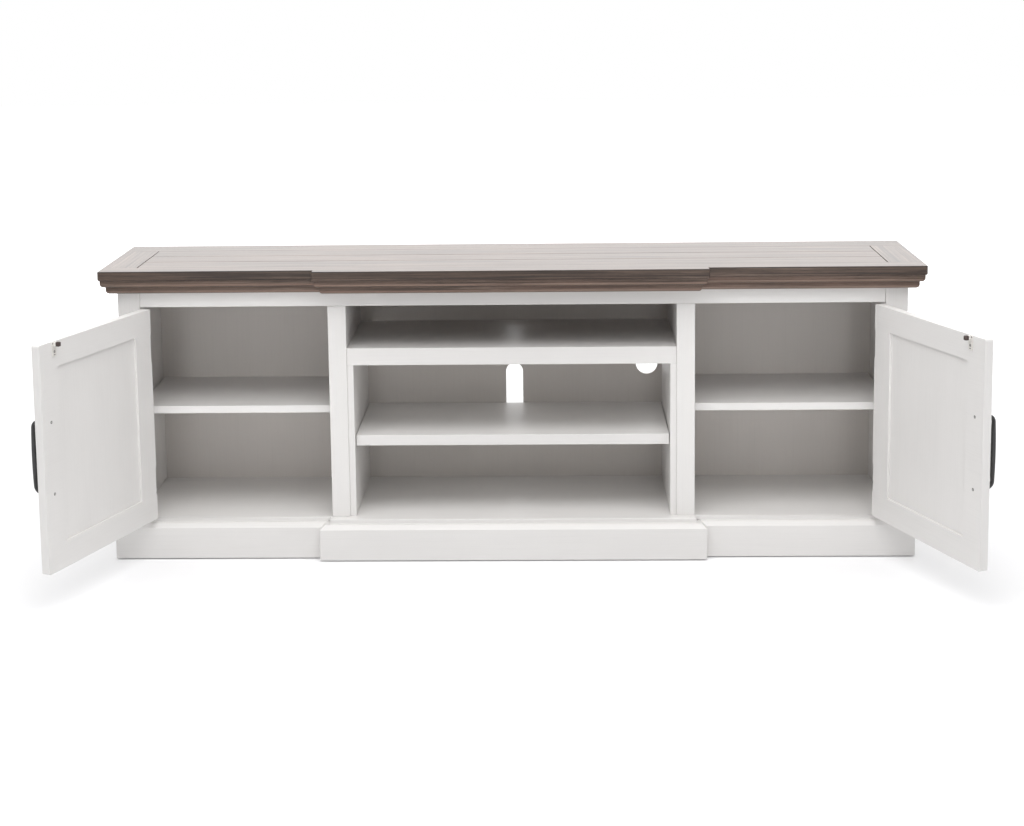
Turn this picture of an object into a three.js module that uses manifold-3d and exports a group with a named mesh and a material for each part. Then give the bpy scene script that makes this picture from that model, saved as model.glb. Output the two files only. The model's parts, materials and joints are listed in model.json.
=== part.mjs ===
// Media console with a moulded brown wooden top, a white case and two framed doors that rest open.
// Millimetres, +Z up. The origin is on the floor, under the middle of the case, on the underside of the base
// rail. The front faces -Y, and +X is to the right of someone who looks at the front.
import * as THREE from "three";
import { mergeVertices } from "three/addons/utils/BufferGeometryUtils.js";
import Module from "manifold-3d";

const wasm = await Module();
wasm.setup();

// Overall sizes
const overall_height = 702;
const body_width = 1858;
const case_depth = 349;

// Top boards
const top_thickness = 22;
const top_overhang = 38;
const top_break = 21;
const top_break_half_width = 461.5;
const front_board_seat = 18;
const back_board_width = 82;
const end_board_width = 83;
const plank_widths = [82, 84];
const groove_width = 1.6;
const groove_depth = 1.5;

// Cornice under the top: two members, the upper one first
const cornice_member_height = 16.85;
const cornice_nose_height = 9;
const upper_member_inset = 5;
const upper_nose_inset = 14;
const lower_member_inset = 16;
const lower_nose_inset = 25;
const mitre_gap = 0.3;

// Posts, rails and panels of the case
const post_width = 52.5;
const post_depth = 40;
const back_post_depth = 40;
const frame_thickness = 20;
const header_height = 69.7;
const pilaster_width = 43;
const side_panel_thickness = 18;
const side_panel_recess = 8.6;
const partition_thickness = 18;
const back_panel_thickness = 6;
const centre_bay_width = 779.4;
const upright_width = 14.8;
const upright_setback = 3.5;

// Base: plinth boards, bottom panel and base rail
const plinth_height = 87;
const plinth_projection = 23;
const plinth_lap = 13;
const plinth_bevel_height = 9.5;
const plinth_bevel_width = 11;
const plinth_break = 23;
const plinth_break_half_width = 459;
const bottom_panel_thickness = 10;
const base_rail_thickness = 18;
const base_rail_width = 44;

// Shelves and the clear heights of the bays
const top_bay_height = 102.9;
const top_shelf_thickness = 18;
const shelf_rail_height = 41.3;
const shelf_rail_thickness = 18;
const bottom_bay_height = 169.4;
const middle_shelf_thickness = 25.6;
const middle_shelf_setback = 20;
const side_bay_lower_height = 248.2;
const side_shelf_thickness = 18;
const side_shelf_setback = 31;
const shelf_end_gap = 1.5;
const shelf_back_gap = 1;
const shelf_pin_length = 8;
const shelf_pin_width = 7;
const shelf_pin_height = 5;
const shelf_pin_setback = 50;

// Openings in the back panel
const slot_width = 43;
const lower_slot_drop = 94.4;
const lower_slot_below_shelf = 66.4;
const upper_slot_rise = 32.6;
const upper_slot_height = 62;
const cable_hole_diameter = 55;
const cable_hole_wall_distance = 52.9;
const cable_hole_drop = 97.4;

// Doors
const door_thickness = 20;
const door_gap = 1.5;
const door_bottom_gap = 2.5;
const stile_width = 66;
const door_top_rail_width = 57;
const door_bottom_rail_width = 59.5;
const door_panel_thickness = 9.6;
const groove_depth_in_frame = 8;
const door_joint_gap = 0.3;
const left_door_open_angle = 109.7;
const right_door_open_angle = 111.2;

// Hinges
const hinge_height = 67;
const hinge_end_distance = 94;
const hinge_leaf_thickness = 1.6;
const hinge_leaf_width = 18;
const hinge_leaf_gap = 0.8;
const hinge_pivot_proud = 6;
const knuckle_radius = 4.2;
const knuckle_gap = 0.3;
const knuckle_clearance = 0.5;
const pin_radius = 2;
const pin_clearance = 0.1;
const pin_head_height = 1.2;

// Handles
const handle_screw_spacing = 160;
const handle_edge_distance = 32;
const handle_projection = 31;
const handle_bow = 2;
const handle_bar_thickness = 6;
const handle_grip_thickness = 10;
const handle_bar_width = 10;
const handle_corner = 18;
const handle_bevel = 2;

// Catches
const strike_edge_distance = 52.6;
const strike_plate_width = 15;
const strike_plate_height = 33;
const strike_plate_thickness = 2;
const strike_top_margin = 0.3;
const tongue_width = 9;
const tongue_height = 10;
const tongue_length = 17;
const jaw_slot_width = 14;
const jaw_slot_depth = 8;
const jaw_wall = 3.5;
const jaw_arm_height = 5.7;
const jaw_roof_thickness = 4.5;
const jaw_setback = 11;
const jaw_flange_height = 20;

// Clearances and steps that many pieces share
const seat_gap = 0.3;
const cut_overrun = 5;
const CURVE_STEPS = 8;
const ROUND_SIDES = 24;

// Places that follow from the sizes
const body_half = body_width / 2;
const bay_half = centre_bay_width / 2;
const pilaster_outer = bay_half + pilaster_width;
const upright_inner = bay_half - upright_width;
const post_inner = body_half - post_width;
const side_panel_outer = body_half - side_panel_recess;
const side_panel_inner = side_panel_outer - side_panel_thickness;
const partition_outer = bay_half + partition_thickness;
const back_panel_front = case_depth - back_panel_thickness;
const top_underside = overall_height - top_thickness;
const cornice_bottom = top_underside - cornice_member_height * 2;
const header_bottom = top_underside - header_height;
const bottom_top = plinth_height + bottom_panel_thickness;
const pivot_x = post_inner - hinge_leaf_thickness - hinge_leaf_gap / 2;
const door_hinge_edge = door_gap - hinge_leaf_thickness - hinge_leaf_gap / 2;
const door_width = post_inner - pilaster_outer - door_gap * 2;
const door_bottom = bottom_top + door_bottom_gap;
const door_top = header_bottom - door_gap;
const top_shelf_top = header_bottom - top_bay_height;
const top_shelf_bottom = top_shelf_top - top_shelf_thickness;
const shelf_rail_bottom = top_shelf_top - shelf_rail_height;
const middle_shelf_bottom = bottom_top + bottom_bay_height;
const middle_shelf_top = middle_shelf_bottom + middle_shelf_thickness;
const side_shelf_bottom = bottom_top + side_bay_lower_height;
const strike_top = door_top - strike_top_margin;
const CLOSE_STEP = 1e-3;

// Materials

function finish(color, roughness, metalness = 0) {
  return () => new THREE.MeshStandardMaterial({ color, roughness, metalness });
}
const white_paint = finish(0xdedbd9, 0.5);
const brown_wood = finish(0x5f524b, 0.6);
const black_metal = finish(0x2b2a2b, 0.45, 0.6);
const hinge_metal = finish(0xb9b6b1, 0.35, 0.9);
const catch_nylon = finish(0xd9d5cf, 0.5);

// Shapes and booleans

// Turns a mesh's faces outward if a mapping has turned them inward.
function facing_out(geometry) {
  const g = geometry.index ? geometry.toNonIndexed() : geometry;
  const p = g.attributes.position;
  const [a, b, c] = [new THREE.Vector3(), new THREE.Vector3(), new THREE.Vector3()];
  let volume = 0;
  for (let i = 0; i < p.count; i += 3) {
    a.fromBufferAttribute(p, i);
    b.fromBufferAttribute(p, i + 1);
    c.fromBufferAttribute(p, i + 2);
    volume += a.dot(b.cross(c));
  }
  if (volume < 0) {
    for (let i = 0; i < p.count; i += 3) {
      b.fromBufferAttribute(p, i + 1);
      c.fromBufferAttribute(p, i + 2);
      p.setXYZ(i + 1, c.x, c.y, c.z);
      p.setXYZ(i + 2, b.x, b.y, b.z);
    }
  }
  g.deleteAttribute("normal");
  g.deleteAttribute("uv");
  const merged = mergeVertices(g, CLOSE_STEP);
  merged.computeVertexNormals();
  return merged;
}

// A block between two corners, given as [low, high] along each axis.
function block(x, y, z) {
  const geometry = new THREE.BoxGeometry(1, 1, 1);
  const p = geometry.attributes.position;
  for (let i = 0; i < p.count; i += 1) {
    p.setXYZ(i, p.getX(i) < 0 ? x[0] : x[1], p.getY(i) < 0 ? y[0] : y[1], p.getZ(i) < 0 ? z[0] : z[1]);
  }
  return facing_out(geometry);
}

function shape_of(points) {
  return new THREE.Shape(points.map(([u, v]) => new THREE.Vector2(u, v)));
}

// A prism of an outline. place(u, v, w) puts each corner, with w 0 at one end and 1 at the other.
function prism(outline, place) {
  const shape = outline instanceof THREE.Shape ? outline : shape_of(outline);
  const settings = { depth: 1, bevelEnabled: false, curveSegments: CURVE_STEPS };
  const geometry = new THREE.ExtrudeGeometry(shape, settings);
  const p = geometry.attributes.position;
  for (let i = 0; i < p.count; i += 1) {
    p.setXYZ(i, ...place(p.getX(i), p.getY(i), p.getZ(i)));
  }
  return facing_out(geometry);
}

const between = (from, to, w) => (w < 0.5 ? from : to);

// A prism whose outline is seen from above.
function plan_prism(outline, low, high) {
  return prism(outline, (u, v, w) => [u, v, between(low, high, w)]);
}

// A rod along one axis, centred on a point.
function rod(axis, radius, length, [x, y, z]) {
  const geometry = new THREE.CylinderGeometry(radius, radius, length, ROUND_SIDES);
  if (axis === "z") geometry.rotateX(Math.PI / 2);
  if (axis === "x") geometry.rotateZ(Math.PI / 2);
  geometry.translate(x, y, z);
  return facing_out(geometry);
}

function solid(geometry) {
  const bare = new THREE.BufferGeometry();
  bare.setAttribute("position", geometry.attributes.position.clone());
  bare.setIndex(geometry.index);
  const merged = mergeVertices(bare, CLOSE_STEP);
  return new wasm.Manifold(
    new wasm.Mesh({
      numProp: 3,
      vertProperties: merged.attributes.position.array,
      triVerts: new Uint32Array(merged.index.array),
    }),
  );
}

function geometry_of(body) {
  const mesh = body.getMesh();
  const positions = new Float32Array(mesh.numVert * 3);
  for (let i = 0; i < mesh.numVert; i += 1) {
    positions.set(mesh.vertProperties.subarray(i * mesh.numProp, i * mesh.numProp + 3), i * 3);
  }
  const geometry = new THREE.BufferGeometry();
  geometry.setAttribute("position", new THREE.BufferAttribute(positions, 3));
  geometry.setIndex(new THREE.BufferAttribute(mesh.triVerts, 1));
  geometry.computeVertexNormals();
  return geometry;
}

function joined(...geometries) {
  return geometry_of(geometries.map(solid).reduce((whole, next) => whole.add(next)));
}

function cut(geometry, ...cutters) {
  return geometry_of(cutters.map(solid).reduce((whole, next) => whole.subtract(next), solid(geometry)));
}

function piece(name, geometry, material) {
  const mesh = new THREE.Mesh(geometry, material());
  mesh.name = name;
  return mesh;
}

// [low, high] of a range on one side: side -1 is left and 1 is right.
function on_side(side, inner, outer) {
  return side < 0 ? [-outer, -inner] : [inner, outer];
}

const SIDES = [
  { side: -1, word: "left", angle: left_door_open_angle },
  { side: 1, word: "right", angle: right_door_open_angle },
];

// The case is built with y 0 at the front face of its posts.
const stand = new THREE.Group();
const case_group = new THREE.Group();
case_group.position.y = -case_depth / 2;
stand.add(case_group);

// Top boards

function top_front_board() {
  const end = body_half + top_overhang;
  const outline = [
    [-end, -top_overhang],
    [-top_break_half_width, -top_overhang],
    [-top_break_half_width, -top_overhang - top_break],
    [top_break_half_width, -top_overhang - top_break],
    [top_break_half_width, -top_overhang],
    [end, -top_overhang],
    [end, front_board_seat],
    [-end, front_board_seat],
  ];
  return plan_prism(outline, top_underside, overall_height);
}

// The middle field of the top: one glued-up panel with a groove at each plank joint.
function top_field_panel() {
  const half = body_half + top_overhang - end_board_width;
  const back = case_depth - back_board_width;
  const joint_after = (last) => plank_widths.slice(0, last + 1).reduce((sum, width) => sum + width, front_board_seat);
  const joints = plank_widths.map((_, last) => joint_after(last));
  const floor = overall_height - groove_depth;
  const surface = joints.flatMap((y) => [
    [y - groove_width / 2, overall_height],
    [y, floor],
    [y + groove_width / 2, overall_height],
  ]);
  const outline = [
    [front_board_seat, top_underside],
    [front_board_seat, overall_height],
    ...surface,
    [back, overall_height],
    [back, top_underside],
  ];
  return prism(outline, (u, v, w) => [between(-half, half, w), u, v]);
}

function add_top() {
  const end = body_half + top_overhang;
  const field_half = end - end_board_width;
  const field_back = case_depth - back_board_width;
  const thickness = [top_underside, overall_height];
  case_group.add(piece("top_front_board", top_front_board(), brown_wood));
  case_group.add(piece("top_back_board", block([-end, end], [field_back, case_depth], thickness), brown_wood));
  case_group.add(piece("top_field", top_field_panel(), brown_wood));
  for (const { side, word } of SIDES) {
    const board = block(on_side(side, field_half, end), [front_board_seat, field_back], thickness);
    case_group.add(piece("top_end_board_" + word, board, brown_wood));
  }
}

// Cornice

// The part of a member's outline that faces out, from its nose up: [how far out from the body, height].
function member_face(bottom, member_inset, nose_inset) {
  const face_out = top_overhang - member_inset;
  const nose_out = top_overhang - nose_inset;
  const points = [];
  for (let i = 0; i <= CURVE_STEPS; i += 1) {
    const turn = (i / CURVE_STEPS) * (Math.PI / 2);
    const out = nose_out + (face_out - nose_out) * Math.sin(turn);
    points.push([out, bottom + cornice_nose_height * (1 - Math.cos(turn))]);
  }
  points.push([face_out, bottom + cornice_member_height]);
  return points;
}

function cornice_face() {
  return [
    ...member_face(cornice_bottom, lower_member_inset, lower_nose_inset),
    ...member_face(cornice_bottom + cornice_member_height, upper_member_inset, upper_nose_inset),
  ];
}

// The plan of a breakfront block: u counts its steps out to a side and v its steps forward.
const BREAKFRONT_PLAN = [
  [-1, 0],
  [-2, 1],
  [-2, 2],
  [2, 2],
  [2, 1],
  [1, 0],
];

// A breakfront block with a moulded face on its front and both flanks, mitred where the flanks meet the side
// pieces.
function moulded_block(face, core_half, forward) {
  const steps = face.length - 1;
  const settings = { depth: 1, steps, bevelEnabled: false };
  const geometry = new THREE.ExtrudeGeometry(shape_of(BREAKFRONT_PLAN), settings);
  const p = geometry.attributes.position;
  for (let i = 0; i < p.count; i += 1) {
    const [out, height] = face[Math.round(p.getZ(i) * steps)];
    const u = p.getX(i);
    const front = [0, -out, -out - forward][Math.round(p.getY(i))];
    p.setXYZ(i, Math.sign(u) * (core_half + (Math.abs(u) - 1) * out), front, height);
  }
  return facing_out(geometry);
}

// A length of moulding along the front. Its outer end is mitred and its inner end fits the centre's flank.
function front_moulding(side, face, lap, outer, inner) {
  const outline = [[-lap, face[0][1]], ...face, [-lap, face[face.length - 1][1]]];
  const place = (out, height, w) => {
    const outer_x = outer + out - mitre_gap / 2;
    const inner_x = inner + Math.max(out, 0) + mitre_gap;
    return [side * between(inner_x, outer_x, w), -out, height];
  };
  return prism(outline, place);
}

// A length of moulding along one end of the case, mitred at the front.
function end_moulding(side, face, lap, outer, back) {
  const outline = [[-lap, face[0][1]], ...face, [-lap, face[face.length - 1][1]]];
  const place = (out, height, w) => [side * (outer + out), between(mitre_gap / 2 - out, back, w), height];
  return prism(outline, place);
}

function add_cornice() {
  const face = cornice_face();
  const core_half = top_break_half_width - top_overhang;
  for (const { side, word } of SIDES) {
    const front = front_moulding(side, face, 0, body_half, core_half);
    case_group.add(piece("cornice_front_" + word, front, brown_wood));
    const end = end_moulding(side, face, 0, body_half, case_depth);
    case_group.add(piece("cornice_end_" + word, end, brown_wood));
  }
  case_group.add(piece("cornice_centre", moulded_block(face, core_half, top_break), brown_wood));
}

// Plinth and base

function plinth_face() {
  return [
    [plinth_projection, 0],
    [plinth_projection, plinth_height - plinth_bevel_height],
    [plinth_projection - plinth_bevel_width, plinth_height],
  ];
}

// The breakfront plinth: a board and two returns, open behind.
function plinth_centre_block() {
  const core_half = plinth_break_half_width - plinth_projection;
  const whole = moulded_block(plinth_face(), core_half, plinth_break);
  const hollow_half = core_half - plinth_lap;
  const hollow = block(
    [-hollow_half, hollow_half],
    [plinth_lap - plinth_break, cut_overrun],
    [-cut_overrun, plinth_height + cut_overrun],
  );
  return cut(whole, hollow);
}

function bottom_panel_board() {
  const tongue = plinth_break_half_width - plinth_projection;
  const outline = [
    [-body_half, 0],
    [-tongue, 0],
    [-tongue, -plinth_break],
    [tongue, -plinth_break],
    [tongue, 0],
    [body_half, 0],
    [body_half, case_depth],
    [-body_half, case_depth],
  ];
  return plan_prism(outline, plinth_height, bottom_top);
}

// A rail along the back and one from front to back under the middle, glued into a T that stands on the floor.
function base_rail_frame() {
  const half = body_half - plinth_lap - seat_gap;
  const middle = base_rail_width / 2;
  const rail_front = case_depth - base_rail_thickness;
  const outline = [
    [-half, case_depth],
    [-half, rail_front],
    [-middle, rail_front],
    [-middle, seat_gap],
    [middle, seat_gap],
    [middle, rail_front],
    [half, rail_front],
    [half, case_depth],
  ];
  return plan_prism(outline, 0, plinth_height);
}

function add_base() {
  const face = plinth_face();
  const core_half = plinth_break_half_width - plinth_projection;
  for (const { side, word } of SIDES) {
    const front = front_moulding(side, face, plinth_lap, body_half, core_half);
    case_group.add(piece("plinth_front_" + word, front, white_paint));
    const end = end_moulding(side, face, plinth_lap, body_half, case_depth);
    case_group.add(piece("plinth_end_" + word, end, white_paint));
  }
  case_group.add(piece("plinth_centre", plinth_centre_block(), white_paint));
  case_group.add(piece("bottom_panel", bottom_panel_board(), white_paint));
  case_group.add(piece("base_rail", base_rail_frame(), white_paint));
}

// Case walls

// A board that stands from the bottom panel to the top, with pins under the shelf that rests on it.
function pinned_wall(x, y, top, pin_face, pin_direction, shelf_underside, shelf_front) {
  const wall = block(x, y, [bottom_top, top]);
  const pins = [shelf_front + shelf_pin_setback, back_panel_front - shelf_pin_setback].map((pin_y) => {
    const reach = [pin_face - pin_direction * cut_overrun, pin_face + pin_direction * shelf_pin_length];
    return block(
      [Math.min(...reach), Math.max(...reach)],
      [pin_y - shelf_pin_width / 2, pin_y + shelf_pin_width / 2],
      [shelf_underside - shelf_pin_height, shelf_underside],
    );
  });
  return joined(wall, ...pins);
}

// The strip beside a pilaster: it runs back to the back panel and is notched for the shelf's front rail.
function inner_upright(side) {
  const rail_back = upright_setback + shelf_rail_thickness;
  const outline = [
    [upright_setback, bottom_top],
    [upright_setback, shelf_rail_bottom],
    [rail_back, shelf_rail_bottom],
    [rail_back, top_shelf_bottom],
    [back_panel_front, top_shelf_bottom],
    [back_panel_front, bottom_top],
  ];
  const x = on_side(side, upright_inner, bay_half);
  const strip = prism(outline, (u, v, w) => [between(x[0], x[1], w), u, v]);
  const reach = on_side(side, upright_inner - shelf_pin_length, upright_inner + upright_width / 2);
  const pins = [middle_shelf_setback + shelf_pin_setback, back_panel_front - shelf_pin_setback].map((pin_y) =>
    block(
      reach,
      [pin_y - shelf_pin_width / 2, pin_y + shelf_pin_width / 2],
      [middle_shelf_bottom - shelf_pin_height, middle_shelf_bottom],
    ),
  );
  return joined(strip, ...pins);
}

function add_walls() {
  const header = block([-post_inner, post_inner], [0, frame_thickness], [header_bottom, top_underside]);
  case_group.add(piece("header_rail", header, white_paint));
  for (const { side, word } of SIDES) {
    const height = [bottom_top, top_underside];
    const post = block(on_side(side, post_inner, body_half), [0, post_depth], height);
    const back_post = block(
      on_side(side, side_panel_inner, body_half),
      [case_depth - back_post_depth, case_depth],
      height,
    );
    const side_wall = pinned_wall(
      on_side(side, side_panel_inner, side_panel_outer),
      [post_depth, case_depth - back_post_depth],
      top_underside,
      side * side_panel_inner,
      -side,
      side_shelf_bottom,
      side_shelf_setback,
    );
    const partition = pinned_wall(
      on_side(side, bay_half, partition_outer),
      [frame_thickness, back_panel_front],
      top_underside,
      side * partition_outer,
      side,
      side_shelf_bottom,
      side_shelf_setback,
    );
    const pilaster = block(
      on_side(side, bay_half, pilaster_outer),
      [0, frame_thickness],
      [bottom_top, header_bottom],
    );
    case_group.add(piece("front_post_" + word, post, white_paint));
    case_group.add(piece("back_post_" + word, back_post, white_paint));
    case_group.add(piece("side_panel_" + word, side_wall, white_paint));
    case_group.add(piece("partition_" + word, partition, white_paint));
    case_group.add(piece("pilaster_" + word, pilaster, white_paint));
    case_group.add(piece("inner_upright_" + word, inner_upright(side), white_paint));
  }
}

// Back panel

// A slot with two round ends, as a hole in a shape.
function slot_path(bottom, top) {
  const r = slot_width / 2;
  const path = new THREE.Path();
  path.absarc(0, top - r, r, 0, Math.PI, false);
  path.absarc(0, bottom + r, r, Math.PI, Math.PI * 2, false);
  path.closePath();
  return path;
}

function add_back_panel() {
  const shape = shape_of([
    [-side_panel_inner, bottom_top],
    [side_panel_inner, bottom_top],
    [side_panel_inner, top_underside],
    [-side_panel_inner, top_underside],
  ]);
  const hole = new THREE.Path();
  const hole_x = bay_half - cable_hole_wall_distance;
  hole.absarc(hole_x, top_shelf_bottom - cable_hole_drop, cable_hole_diameter / 2, 0, Math.PI * 2, false);
  shape.holes.push(slot_path(middle_shelf_bottom - lower_slot_below_shelf, top_shelf_bottom - lower_slot_drop));
  const upper_slot_bottom = top_shelf_top + upper_slot_rise;
  shape.holes.push(slot_path(upper_slot_bottom, upper_slot_bottom + upper_slot_height));
  shape.holes.push(hole);
  const panel = prism(shape, (u, v, w) => [u, between(back_panel_front, case_depth, w), v]);
  case_group.add(piece("back_panel", panel, white_paint));
}

// Shelves

function add_shelves() {
  const rail_back = upright_setback + shelf_rail_thickness;
  const top_shelf = block(
    [-bay_half, bay_half],
    [rail_back, back_panel_front],
    [top_shelf_bottom, top_shelf_top],
  );
  const rail = block(
    [-bay_half, bay_half],
    [upright_setback, rail_back],
    [shelf_rail_bottom, top_shelf_top],
  );
  const middle_half = upright_inner - shelf_end_gap;
  const shelf_back = back_panel_front - shelf_back_gap;
  const middle = block(
    [-middle_half, middle_half],
    [middle_shelf_setback, shelf_back],
    [middle_shelf_bottom, middle_shelf_top],
  );
  case_group.add(piece("top_shelf", top_shelf, white_paint));
  case_group.add(piece("top_shelf_rail", rail, white_paint));
  case_group.add(piece("middle_shelf", middle, white_paint));
  for (const { side, word } of SIDES) {
    const notch = [
      [partition_outer + shelf_end_gap, side_shelf_setback],
      [post_inner - shelf_end_gap, side_shelf_setback],
      [post_inner - shelf_end_gap, post_depth + shelf_end_gap],
      [side_panel_inner - shelf_end_gap, post_depth + shelf_end_gap],
      [side_panel_inner - shelf_end_gap, shelf_back],
      [partition_outer + shelf_end_gap, shelf_back],
    ];
    const outline = notch.map(([x, y]) => [side * x, y]);
    const shelf = plan_prism(outline, side_shelf_bottom, side_shelf_bottom + side_shelf_thickness);
    case_group.add(piece("side_shelf_" + word, shelf, white_paint));
  }
}

// Hinges, built round a pin at the origin

const KNUCKLES = 5;

// [low, high] of each knuckle that belongs to a leaf, from the bottom: the case leaf has the even ones.
function knuckle_spans(first) {
  const step = hinge_height / KNUCKLES;
  const spans = [];
  for (let i = first; i < KNUCKLES; i += 2) {
    const low = i * step - hinge_height / 2;
    spans.push([low + knuckle_gap / 2, low + step - knuckle_gap / 2]);
  }
  return spans;
}

// One leaf with its knuckles. away is the side of the pin that the leaf's plate lies on.
function leaf_with_knuckles(away, first) {
  const x = on_side(away, hinge_leaf_gap / 2, hinge_leaf_gap / 2 + hinge_leaf_thickness);
  const plate_start = knuckle_radius + knuckle_clearance;
  const height = [-hinge_height / 2, hinge_height / 2];
  const plate = block(x, [plate_start, hinge_pivot_proud + hinge_leaf_width], height);
  const knuckles = knuckle_spans(first).flatMap(([low, high]) => [
    rod("z", knuckle_radius, high - low, [0, 0, (low + high) / 2]),
    block(x, [0, plate_start + hinge_leaf_thickness], [low, high]),
  ]);
  return [plate, ...knuckles];
}

// The case leaf carries the pin, riveted into its knuckles, with a head at each end.
function case_leaf(away) {
  const length = hinge_height + pin_head_height * 2;
  return joined(...leaf_with_knuckles(away, 0), rod("z", pin_radius, length, [0, 0, 0]));
}

function door_leaf(away) {
  const bore = rod("z", pin_radius + pin_clearance, hinge_height + cut_overrun, [0, 0, 0]);
  return cut(joined(...leaf_with_knuckles(away, 1)), bore);
}

const HINGES = [
  { word: "lower", height: door_bottom + hinge_end_distance },
  { word: "upper", height: door_top - hinge_end_distance },
];

function add_case_leaves() {
  for (const { side, word } of SIDES) {
    for (const { word: level, height } of HINGES) {
      const leaf = piece("hinge_case_leaf_" + level + "_" + word, case_leaf(side), hinge_metal);
      leaf.position.set(side * pivot_x, -hinge_pivot_proud, height);
      case_group.add(leaf);
    }
  }
}

// Doors, built closed round their pivot: a runs from the hinge to the free edge and y runs from front to back

function door_range(side, a0, a1) {
  return on_side(-side, a0, a1);
}

// A frame member's section: depth along the door's thickness, with a groove for the panel in its inner edge.
function grooved_section(inner, outer, toward) {
  const front = hinge_pivot_proud;
  const back = hinge_pivot_proud + door_thickness;
  const middle = (front + back) / 2;
  const half_groove = door_panel_thickness / 2 + door_joint_gap;
  const floor = inner - toward * groove_depth_in_frame;
  return [
    [outer, front],
    [inner, front],
    [inner, middle - half_groove],
    [floor, middle - half_groove],
    [floor, middle + half_groove],
    [inner, middle + half_groove],
    [inner, back],
    [outer, back],
  ];
}

// What is cut out of a hinge stile's edge for each hinge, through the whole thickness.
function hinge_recesses(side) {
  const floor = hinge_leaf_gap / 2 + hinge_leaf_thickness + seat_gap;
  const half = hinge_height / 2 + seat_gap;
  return HINGES.map(({ height }) =>
    block(
      door_range(side, door_hinge_edge - cut_overrun, floor),
      [hinge_pivot_proud - cut_overrun, hinge_pivot_proud + door_thickness + cut_overrun],
      [height - half, height + half],
    ),
  );
}

function add_door_frame(door, side, word) {
  const away = -side;
  const free_edge = door_hinge_edge + door_width;
  const stile = (inner, outer, toward) =>
    prism(grooved_section(inner, outer, toward), (a, y, w) => [away * a, y, between(door_bottom, door_top, w)]);
  const inner_start = door_hinge_edge + stile_width;
  const inner_end = free_edge - stile_width;
  const hinge_stile = cut(stile(inner_start, door_hinge_edge, 1), ...hinge_recesses(side));
  door.add(piece("door_hinge_stile_" + word, hinge_stile, white_paint));
  door.add(piece("door_lock_stile_" + word, stile(inner_end, free_edge, -1), white_paint));
  const rail = (inner, outer, toward) =>
    prism(grooved_section(inner, outer, toward), (z, y, w) => [
      away * between(inner_start + door_joint_gap, inner_end - door_joint_gap, w),
      y,
      z,
    ]);
  const panel_low = door_bottom + door_bottom_rail_width;
  const panel_high = door_top - door_top_rail_width;
  door.add(piece("door_bottom_rail_" + word, rail(panel_low, door_bottom, 1), white_paint));
  door.add(piece("door_top_rail_" + word, rail(panel_high, door_top, -1), white_paint));
  const tongue = groove_depth_in_frame - door_joint_gap;
  const middle = hinge_pivot_proud + door_thickness / 2;
  const panel = block(
    door_range(side, inner_start - tongue, inner_end + tongue),
    [middle - door_panel_thickness / 2, middle + door_panel_thickness / 2],
    [panel_low - tongue, panel_high + tongue],
  );
  door.add(piece("door_panel_" + word, panel, white_paint));
}

// The handle's side view: u is how far it stands out from the door, v is the height from its middle.
// The bar bows outward and its inner side swells, so it is thickest in the middle of the grip.
function handle_outline() {
  const half = handle_screw_spacing / 2 + handle_bar_thickness / 2 - handle_bevel;
  const seat = handle_bevel;
  const outer = handle_projection - handle_bevel;
  const inner = handle_projection - handle_bar_thickness + handle_bevel;
  const turn = half - handle_corner;
  const foot = half - handle_bar_thickness + handle_bevel * 2;
  const swell = handle_grip_thickness - handle_bar_thickness;
  const shape = new THREE.Shape();
  shape.moveTo(seat, -half);
  shape.lineTo(outer - handle_corner, -half);
  shape.quadraticCurveTo(outer, -half, outer, -turn);
  shape.quadraticCurveTo(outer + handle_bow * 2, 0, outer, turn);
  shape.quadraticCurveTo(outer, half, outer - handle_corner, half);
  shape.lineTo(seat, half);
  shape.lineTo(seat, foot);
  shape.lineTo(outer - handle_corner, foot);
  shape.quadraticCurveTo(inner, foot, inner, turn);
  shape.quadraticCurveTo(inner + (handle_bow - swell) * 2, 0, inner, -turn);
  shape.quadraticCurveTo(inner, -foot, outer - handle_corner, -foot);
  shape.lineTo(seat, -foot);
  return shape;
}

function add_handle(door, side, word) {
  const geometry = new THREE.ExtrudeGeometry(handle_outline(), {
    depth: handle_bar_width - handle_bevel * 2,
    bevelThickness: handle_bevel,
    bevelSize: handle_bevel,
    bevelSegments: 2,
    curveSegments: CURVE_STEPS,
  });
  const p = geometry.attributes.position;
  const a = door_hinge_edge + door_width - handle_edge_distance;
  const face = hinge_pivot_proud - seat_gap;
  const middle = (door_bottom + door_top) / 2;
  for (let i = 0; i < p.count; i += 1) {
    const [u, v, w] = [p.getX(i), p.getY(i), p.getZ(i)];
    const along = a + w - handle_bar_width / 2 + handle_bevel;
    p.setXYZ(i, -side * along, face - u, middle + v);
  }
  door.add(piece("handle_" + word, facing_out(geometry), black_metal));
}

// The strike: a plate on the door's inner face with a tongue at its top that enters the catch.
function add_strike(door, side, word) {
  const a = door_hinge_edge + door_width - strike_edge_distance;
  const face = hinge_pivot_proud + door_thickness + seat_gap;
  const plate = block(
    door_range(side, a - strike_plate_width / 2, a + strike_plate_width / 2),
    [face, face + strike_plate_thickness],
    [strike_top - strike_plate_height, strike_top],
  );
  const tongue = block(
    door_range(side, a - tongue_width / 2, a + tongue_width / 2),
    [face + strike_plate_thickness / 2, face + tongue_length],
    [strike_top - tongue_height, strike_top],
  );
  door.add(piece("catch_strike_" + word, joined(plate, tongue), catch_nylon));
}

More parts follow.
